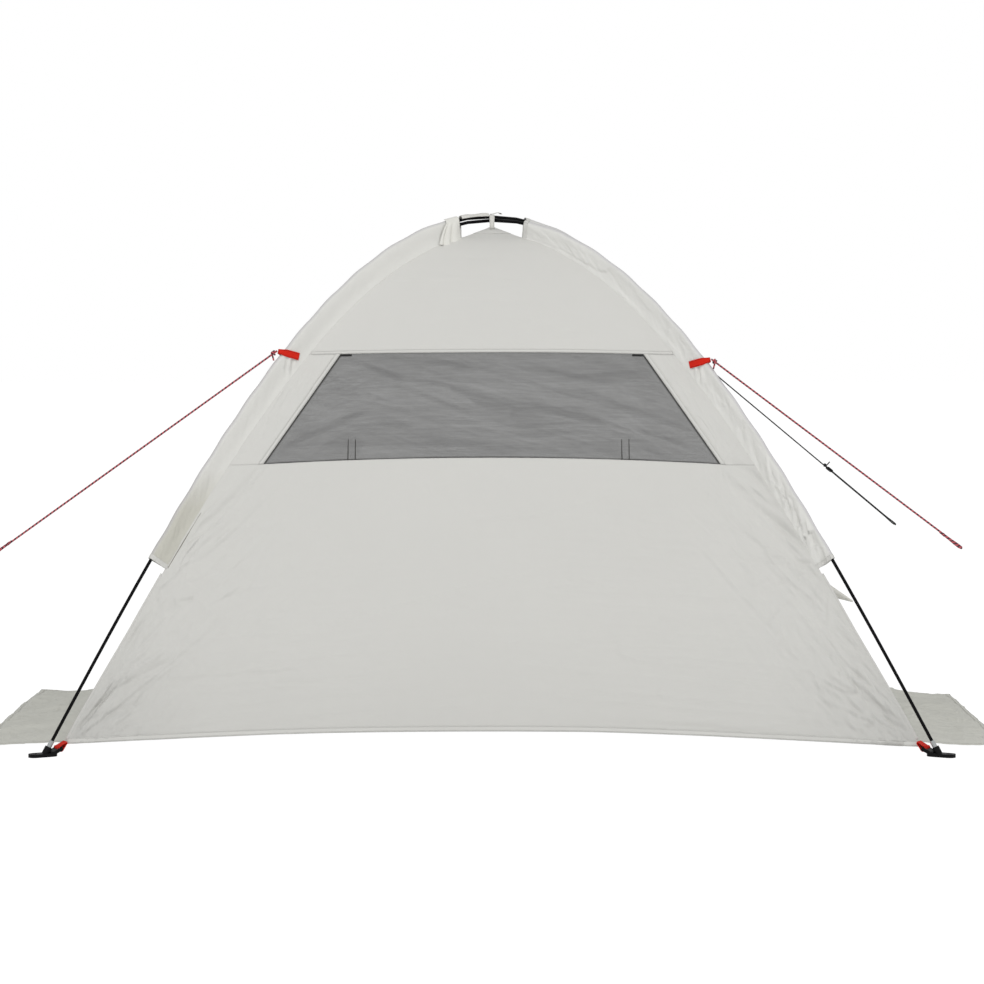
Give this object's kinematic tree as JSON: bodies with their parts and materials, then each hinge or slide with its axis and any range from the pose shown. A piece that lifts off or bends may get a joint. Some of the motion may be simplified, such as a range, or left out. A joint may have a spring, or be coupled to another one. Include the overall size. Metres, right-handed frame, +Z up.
{
  "type": "beach tent",
  "caption": "Free-standing beach shelter: grey fabric canopy on two crossing bent poles, mesh window in the rear wall, open front, sand flap along each side and guy ropes",
  "frame": {"origin": "on the ground under the crown, in the middle of the four pole feet", "axes": "+Z up; the rear wall with the window faces -Y; the open front faces +Y; +X is to the right when the rear wall is looked at from outside"},
  "size_m": [2.3716, 1.2514, 1.2336],
  "materials": {
    "pole_fibre": "smooth black glass-fibre reinforced tube",
    "tip_metal": "turned bright tip",
    "shock_elastic": "braided elastic",
    "black_plastic": "moulded, satin",
    "red_webbing": "woven band, matt",
    "red_cord": "braided cord with dark flecks",
    "black_cord": "braided cord",
    "flap_fabric": "coated plain weave, shaded",
    "mesh_fabric": "fine dark mesh",
    "hook_pad": "hook and loop patch",
    "cream_webbing": "soft woven band",
    "floor_sheet": "coated sheet, satin",
    "canopy_fabric": "plain-woven polyester, matt with a silver cast"
  },
  "bodies": {
    "tent": {"corner_loop_front_left": "red_webbing", "corner_loop_front_right": "red_webbing", "corner_loop_rear_left": "red_webbing", "corner_loop_rear_right": "red_webbing", "cover_tie_left": "cream_webbing", "cover_tie_right": "cream_webbing", "crown_patch": "canopy_fabric", "crown_strap": "cream_webbing", "crown_tie": "cream_webbing", "front_brow": "canopy_fabric", "groundsheet": "floor_sheet", "guy_rope_front_right": "black_cord", "guy_rope_rear_left": "red_cord", "guy_rope_rear_right": "red_cord", "guy_tab_front_left": "red_webbing", "guy_tab_front_right": "red_webbing", "guy_tab_rear_left": "red_webbing", "guy_tab_rear_right": "red_webbing", "hook_pad_left": "hook_pad", "hook_pad_right": "hook_pad", "pole_a_segment_1": "pole_fibre", "pole_a_segment_2": "pole_fibre", "pole_a_segment_3": "pole_fibre", "pole_a_segment_4": "pole_fibre", "pole_a_segment_5": "pole_fibre", "pole_b_segment_1": "pole_fibre", "pole_b_segment_2": "pole_fibre", "pole_b_segment_3": "pole_fibre", "pole_b_segment_4": "pole_fibre", "pole_b_segment_5": "pole_fibre", "pole_tip_front_left": "tip_metal", "pole_tip_front_right": "tip_metal", "pole_tip_rear_left": "tip_metal", "pole_tip_rear_right": "tip_metal", "rear_cheek_left": "canopy_fabric", "rear_cheek_right": "canopy_fabric", "rear_wall_lower": "canopy_fabric", "rear_wall_upper": "canopy_fabric", "shock_cord_a": "shock_elastic", "shock_cord_b": "shock_elastic", "shoe_front_left": "black_plastic", "shoe_front_right": "black_plastic", "shoe_rear_left": "black_plastic", "shoe_rear_right": "black_plastic", "side_tab": "canopy_fabric", "side_wall_left": "canopy_fabric", "side_wall_right": "canopy_fabric", "sleeve_front_left": "canopy_fabric", "sleeve_front_right": "canopy_fabric", "sleeve_rear_left": "canopy_fabric", "sleeve_rear_right": "canopy_fabric", "window_binding": "canopy_fabric", "window_cover_roll": "canopy_fabric", "window_mesh": "mesh_fabric"},
    "flap_left": {"sand_flap_left": "flap_fabric"},
    "flap_right": {"sand_flap_right": "flap_fabric"},
    "tensioner": {"rope_tensioner": "black_plastic"}
  },
  "joints": [
    {"name": "flap_left_fold", "type": "hinge", "parent": "tent", "child": "flap_left", "pos_m": [-0.96377, 0, 0.0296], "axis": [0, 1, 0], "range_deg": [0, 90]},
    {"name": "flap_right_fold", "type": "hinge", "parent": "tent", "child": "flap_right", "pos_m": [0.96377, 0, 0.0296], "axis": [0, -1, 0], "range_deg": [0, 90]},
    {"name": "tensioner_slide", "type": "slide", "parent": "tent", "child": "tensioner", "axis": [0.7326, 0.3204, -0.6006], "range_m": [0, 0.16]}
  ]
}
